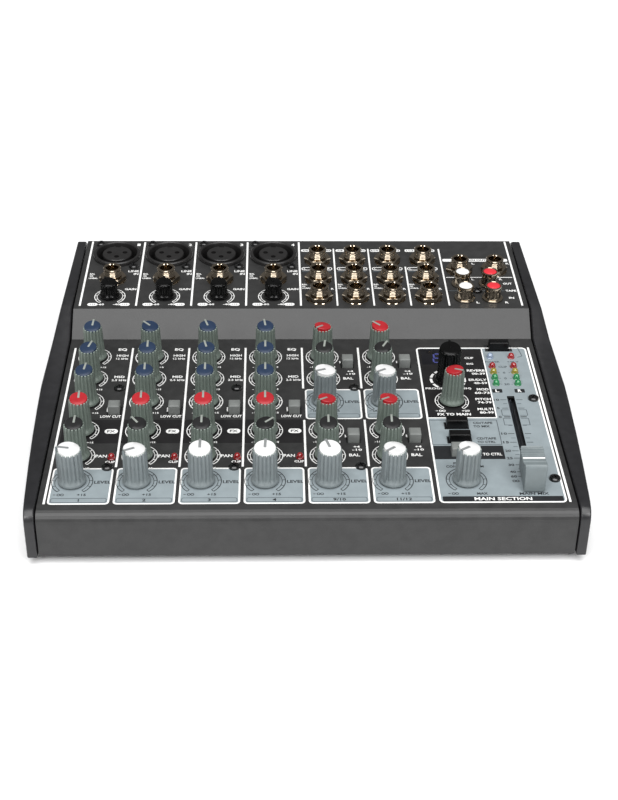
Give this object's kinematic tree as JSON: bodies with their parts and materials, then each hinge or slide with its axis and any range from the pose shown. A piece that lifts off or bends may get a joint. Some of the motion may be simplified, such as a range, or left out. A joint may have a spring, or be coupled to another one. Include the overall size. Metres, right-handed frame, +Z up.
{
  "type": "mixing console",
  "caption": "Desktop audio mixing console: sloped metal control panel with rotary knobs, push keys and one fader, raised rear socket field, plastic side cheeks.",
  "frame": {"origin": "centre of the console's footprint, on the plane of the feet", "axes": "+Z up, -Y towards the user at the front, +X to the user's right"},
  "size_m": [0.247, 0.22, 0.0532],
  "materials": {
    "panel_paint": "fine-textured charcoal powder coat",
    "tray_paint": "satin dark grey",
    "cheek_plastic": "fine-grained moulded plastic",
    "socket_black": "satin moulding",
    "nickel": "bright nickel plate",
    "black_zinc": "glossy black",
    "board_green": "solder mask",
    "pot_metal": "stamped steel",
    "lamp_red": "clear tinted lens",
    "foot_rubber": "matt",
    "knob_grey": "satin moulding",
    "knob_light": "satin moulding",
    "knob_black": "gloss moulding",
    "fader_grey": "satin moulding",
    "button_grey": "satin moulding",
    "button_black": "satin moulding"
  },
  "bodies": {
    "console": {"top_panel": "panel_paint", "base_tray": "tray_paint", "left_cheek": "cheek_plastic", "right_cheek": "cheek_plastic", "mic_sockets": "socket_black", "jack_sockets": "nickel", "phono_sockets": "nickel", "panel_screws": "black_zinc", "circuit_boards": "board_green", "potentiometers": "pot_metal", "indicator_lamps": "lamp_red", "feet": "foot_rubber"},
    "gain_knob_1": {"gain_knob_1": "knob_black"},
    "gain_knob_2": {"gain_knob_2": "knob_black"},
    "gain_knob_3": {"gain_knob_3": "knob_black"},
    "gain_knob_4": {"gain_knob_4": "knob_black"},
    "high_knob_1": {"high_knob_1": "knob_grey"},
    "high_knob_2": {"high_knob_2": "knob_grey"},
    "high_knob_3": {"high_knob_3": "knob_grey"},
    "high_knob_4": {"high_knob_4": "knob_grey"},
    "mid_knob_1": {"mid_knob_1": "knob_grey"},
    "mid_knob_2": {"mid_knob_2": "knob_grey"},
    "mid_knob_3": {"mid_knob_3": "knob_grey"},
    "mid_knob_4": {"mid_knob_4": "knob_grey"},
    "low_knob_1": {"low_knob_1": "knob_grey"},
    "low_knob_2": {"low_knob_2": "knob_grey"},
    "low_knob_3": {"low_knob_3": "knob_grey"},
    "low_knob_4": {"low_knob_4": "knob_grey"},
    "fx_knob_1": {"fx_knob_1": "knob_grey"},
    "fx_knob_2": {"fx_knob_2": "knob_grey"},
    "fx_knob_3": {"fx_knob_3": "knob_grey"},
    "fx_knob_4": {"fx_knob_4": "knob_grey"},
    "pan_knob_1": {"pan_knob_1": "knob_grey"},
    "pan_knob_2": {"pan_knob_2": "knob_grey"},
    "pan_knob_3": {"pan_knob_3": "knob_grey"},
    "pan_knob_4": {"pan_knob_4": "knob_grey"},
    "level_knob_1": {"level_knob_1": "knob_light"},
    "level_knob_2": {"level_knob_2": "knob_light"},
    "level_knob_3": {"level_knob_3": "knob_light"},
    "level_knob_4": {"level_knob_4": "knob_light"},
    "fx_knob_5_6": {"fx_knob_5_6": "knob_grey"},
    "fx_knob_9_10": {"fx_knob_9_10": "knob_grey"},
    "fx_knob_7_8": {"fx_knob_7_8": "knob_grey"},
    "fx_knob_11_12": {"fx_knob_11_12": "knob_grey"},
    "balance_knob_5_6": {"balance_knob_5_6": "knob_grey"},
    "balance_knob_9_10": {"balance_knob_9_10": "knob_grey"},
    "balance_knob_7_8": {"balance_knob_7_8": "knob_grey"},
    "balance_knob_11_12": {"balance_knob_11_12": "knob_grey"},
    "level_knob_5_6": {"level_knob_5_6": "knob_light"},
    "level_knob_9_10": {"level_knob_9_10": "knob_light"},
    "level_knob_7_8": {"level_knob_7_8": "knob_light"},
    "level_knob_11_12": {"level_knob_11_12": "knob_light"},
    "program_knob": {"program_knob": "knob_black"},
    "fx_to_main_knob": {"fx_to_main_knob": "knob_grey"},
    "phones_knob": {"phones_knob": "knob_light"},
    "fader_cap": {"fader_cap": "fader_grey"},
    "low_cut_buttons": {"low_cut_buttons": "button_grey"},
    "input_level_buttons": {"input_level_buttons": "button_grey"},
    "routing_buttons": {"routing_buttons": "button_black"},
    "phantom_button": {"phantom_button": "button_black"}
  },
  "joints": [
    {"name": "gain_knob_1_turn", "type": "hinge", "parent": "console", "child": "gain_knob_1", "pos_m": [-0.09657, 0.05019, 0.04356], "axis": [0, -0.0523, 0.9986], "range_deg": [-180, 120]},
    {"name": "gain_knob_2_turn", "type": "hinge", "parent": "console", "child": "gain_knob_2", "pos_m": [-0.06913, 0.05019, 0.04356], "axis": [0, -0.0523, 0.9986], "range_deg": [-150, 150]},
    {"name": "gain_knob_3_turn", "type": "hinge", "parent": "console", "child": "gain_knob_3", "pos_m": [-0.04167, 0.05019, 0.04356], "axis": [0, -0.0523, 0.9986], "range_deg": [-150, 150]},
    {"name": "gain_knob_4_turn", "type": "hinge", "parent": "console", "child": "gain_knob_4", "pos_m": [-0.01422, 0.05019, 0.04356], "axis": [0, -0.0523, 0.9986], "range_deg": [-180, 120]},
    {"name": "high_knob_1_turn", "type": "hinge", "parent": "console", "child": "high_knob_1", "pos_m": [-0.10055, 0.00935, 0.032], "axis": [0, -0.0523, 0.9986], "range_deg": [-145, 155]},
    {"name": "high_knob_2_turn", "type": "hinge", "parent": "console", "child": "high_knob_2", "pos_m": [-0.0731, 0.00935, 0.032], "axis": [0, -0.0523, 0.9986], "range_deg": [-200, 100]},
    {"name": "high_knob_3_turn", "type": "hinge", "parent": "console", "child": "high_knob_3", "pos_m": [-0.04565, 0.00935, 0.032], "axis": [0, -0.0523, 0.9986], "range_deg": [-170, 130]},
    {"name": "high_knob_4_turn", "type": "hinge", "parent": "console", "child": "high_knob_4", "pos_m": [-0.0182, 0.00935, 0.032], "axis": [0, -0.0523, 0.9986], "range_deg": [-158, 142]},
    {"name": "mid_knob_1_turn", "type": "hinge", "parent": "console", "child": "mid_knob_1", "pos_m": [-0.10055, -0.00923, 0.03103], "axis": [0, -0.0523, 0.9986], "range_deg": [-130, 170]},
    {"name": "mid_knob_2_turn", "type": "hinge", "parent": "console", "child": "mid_knob_2", "pos_m": [-0.0731, -0.00923, 0.03103], "axis": [0, -0.0523, 0.9986], "range_deg": [-150, 150]},
    {"name": "mid_knob_3_turn", "type": "hinge", "parent": "console", "child": "mid_knob_3", "pos_m": [-0.04565, -0.00923, 0.03103], "axis": [0, -0.0523, 0.9986], "range_deg": [-165, 135]},
    {"name": "mid_knob_4_turn", "type": "hinge", "parent": "console", "child": "mid_knob_4", "pos_m": [-0.0182, -0.00923, 0.03103], "axis": [0, -0.0523, 0.9986], "range_deg": [-150, 150]},
    {"name": "low_knob_1_turn", "type": "hinge", "parent": "console", "child": "low_knob_1", "pos_m": [-0.10055, -0.028, 0.03004], "axis": [0, -0.0523, 0.9986], "range_deg": [-142, 158]},
    {"name": "low_knob_2_turn", "type": "hinge", "parent": "console", "child": "low_knob_2", "pos_m": [-0.0731, -0.028, 0.03004], "axis": [0, -0.0523, 0.9986], "range_deg": [-150, 150]},
    {"name": "low_knob_3_turn", "type": "hinge", "parent": "console", "child": "low_knob_3", "pos_m": [-0.04565, -0.028, 0.03004], "axis": [0, -0.0523, 0.9986], "range_deg": [-150, 150]},
    {"name": "low_knob_4_turn", "type": "hinge", "parent": "console", "child": "low_knob_4", "pos_m": [-0.0182, -0.028, 0.03004], "axis": [0, -0.0523, 0.9986], "range_deg": [-150, 150]},
    {"name": "fx_knob_1_turn", "type": "hinge", "parent": "console", "child": "fx_knob_1", "pos_m": [-0.10055, -0.05037, 0.02887], "axis": [0, -0.0523, 0.9986], "range_deg": [-150, 150]},
    {"name": "fx_knob_2_turn", "type": "hinge", "parent": "console", "child": "fx_knob_2", "pos_m": [-0.0731, -0.05037, 0.02887], "axis": [0, -0.0523, 0.9986], "range_deg": [-150, 150]},
    {"name": "fx_knob_3_turn", "type": "hinge", "parent": "console", "child": "fx_knob_3", "pos_m": [-0.04565, -0.05037, 0.02887], "axis": [0, -0.0523, 0.9986], "range_deg": [-150, 150]},
    {"name": "fx_knob_4_turn", "type": "hinge", "parent": "console", "child": "fx_knob_4", "pos_m": [-0.0182, -0.05037, 0.02887], "axis": [0, -0.0523, 0.9986], "range_deg": [-150, 150]},
    {"name": "pan_knob_1_turn", "type": "hinge", "parent": "console", "child": "pan_knob_1", "pos_m": [-0.10055, -0.06895, 0.0279], "axis": [0, -0.0523, 0.9986], "range_deg": [-147, 153]},
    {"name": "pan_knob_2_turn", "type": "hinge", "parent": "console", "child": "pan_knob_2", "pos_m": [-0.0731, -0.06895, 0.0279], "axis": [0, -0.0523, 0.9986], "range_deg": [-190, 110]},
    {"name": "pan_knob_3_turn", "type": "hinge", "parent": "console", "child": "pan_knob_3", "pos_m": [-0.04565, -0.06895, 0.0279], "axis": [0, -0.0523, 0.9986], "range_deg": [-150, 150]},
    {"name": "pan_knob_4_turn", "type": "hinge", "parent": "console", "child": "pan_knob_4", "pos_m": [-0.0182, -0.06895, 0.0279], "axis": [0, -0.0523, 0.9986], "range_deg": [-95, 205]},
    {"name": "level_knob_1_turn", "type": "hinge", "parent": "console", "child": "level_knob_1", "pos_m": [-0.10055, -0.08692, 0.02696], "axis": [0, -0.0523, 0.9986], "range_deg": [-240, 60]},
    {"name": "level_knob_2_turn", "type": "hinge", "parent": "console", "child": "level_knob_2", "pos_m": [-0.0731, -0.08692, 0.02696], "axis": [0, -0.0523, 0.9986], "range_deg": [-275, 25]},
    {"name": "level_knob_3_turn", "type": "hinge", "parent": "console", "child": "level_knob_3", "pos_m": [-0.04565, -0.08692, 0.02696], "axis": [0, -0.0523, 0.9986], "range_deg": [-150, 150]},
    {"name": "level_knob_4_turn", "type": "hinge", "parent": "console", "child": "level_knob_4", "pos_m": [-0.0182, -0.08692, 0.02696], "axis": [0, -0.0523, 0.9986], "range_deg": [-147, 153]},
    {"name": "fx_knob_5_6_turn", "type": "hinge", "parent": "console", "child": "fx_knob_5_6", "pos_m": [0.00925, 0.00935, 0.032], "axis": [0, -0.0523, 0.9986], "range_deg": [-285, 15]},
    {"name": "fx_knob_9_10_turn", "type": "hinge", "parent": "console", "child": "fx_knob_9_10", "pos_m": [0.0367, 0.00935, 0.032], "axis": [0, -0.0523, 0.9986], "range_deg": [-205, 95]},
    {"name": "fx_knob_7_8_turn", "type": "hinge", "parent": "console", "child": "fx_knob_7_8", "pos_m": [0.00925, -0.05037, 0.02887], "axis": [0, -0.0523, 0.9986], "range_deg": [-280, 20]},
    {"name": "fx_knob_11_12_turn", "type": "hinge", "parent": "console", "child": "fx_knob_11_12", "pos_m": [0.0367, -0.05037, 0.02887], "axis": [0, -0.0523, 0.9986], "range_deg": [-280, 20]},
    {"name": "balance_knob_5_6_turn", "type": "hinge", "parent": "console", "child": "balance_knob_5_6", "pos_m": [0.00925, -0.00923, 0.03103], "axis": [0, -0.0523, 0.9986], "range_deg": [-142, 158]},
    {"name": "balance_knob_9_10_turn", "type": "hinge", "parent": "console", "child": "balance_knob_9_10", "pos_m": [0.0367, -0.00923, 0.03103], "axis": [0, -0.0523, 0.9986], "range_deg": [-118, 182]},
    {"name": "balance_knob_7_8_turn", "type": "hinge", "parent": "console", "child": "balance_knob_7_8", "pos_m": [0.00925, -0.06895, 0.0279], "axis": [0, -0.0523, 0.9986], "range_deg": [-150, 150]},
    {"name": "balance_knob_11_12_turn", "type": "hinge", "parent": "console", "child": "balance_knob_11_12", "pos_m": [0.0367, -0.06895, 0.0279], "axis": [0, -0.0523, 0.9986], "range_deg": [-150, 150]},
    {"name": "level_knob_5_6_turn", "type": "hinge", "parent": "console", "child": "level_knob_5_6", "pos_m": [0.00925, -0.028, 0.03004], "axis": [0, -0.0523, 0.9986], "range_deg": [-270, 30]},
    {"name": "level_knob_9_10_turn", "type": "hinge", "parent": "console", "child": "level_knob_9_10", "pos_m": [0.0367, -0.028, 0.03004], "axis": [0, -0.0523, 0.9986], "range_deg": [-280, 20]},
    {"name": "level_knob_7_8_turn", "type": "hinge", "parent": "console", "child": "level_knob_7_8", "pos_m": [0.00925, -0.08692, 0.02696], "axis": [0, -0.0523, 0.9986], "range_deg": [-170, 130]},
    {"name": "level_knob_11_12_turn", "type": "hinge", "parent": "console", "child": "level_knob_11_12", "pos_m": [0.0367, -0.08692, 0.02696], "axis": [0, -0.0523, 0.9986], "range_deg": [-285, 15]},
    {"name": "program_knob_turn", "type": "hinge", "parent": "console", "child": "program_knob", "pos_m": [0.0684, -0.01033, 0.03097], "axis": [0, -0.0523, 0.9986], "continuous": true},
    {"name": "fx_to_main_knob_turn", "type": "hinge", "parent": "console", "child": "fx_to_main_knob", "pos_m": [0.0684, -0.028, 0.03004], "axis": [0, -0.0523, 0.9986], "range_deg": [-28, 272]},
    {"name": "phones_knob_turn", "type": "hinge", "parent": "console", "child": "phones_knob", "pos_m": [0.0684, -0.08692, 0.02696], "axis": [0, -0.0523, 0.9986], "range_deg": [-280, 20]},
    {"name": "fader_slide", "type": "slide", "parent": "console", "child": "fader_cap", "axis": [0, 0.9986, 0.0523], "range_m": [-0.001, 0.059]},
    {"name": "low_cut_press", "type": "slide", "parent": "console", "child": "low_cut_buttons", "axis": [0, 0.0523, -0.9986], "range_m": [0, 0.0018], "stiffness_N_per_m": 400, "springref_m": -0.0015},
    {"name": "input_level_press", "type": "slide", "parent": "console", "child": "input_level_buttons", "axis": [0, 0.0523, -0.9986], "range_m": [0, 0.0018], "stiffness_N_per_m": 400, "springref_m": -0.0015},
    {"name": "routing_press", "type": "slide", "parent": "console", "child": "routing_buttons", "axis": [0, 0.0523, -0.9986], "range_m": [0, 0.0018], "stiffness_N_per_m": 400, "springref_m": -0.0015},
    {"name": "phantom_press", "type": "slide", "parent": "console", "child": "phantom_button", "axis": [0, 0.0523, -0.9986], "range_m": [0, 0.0018], "stiffness_N_per_m": 400, "springref_m": -0.0015}
  ]
}
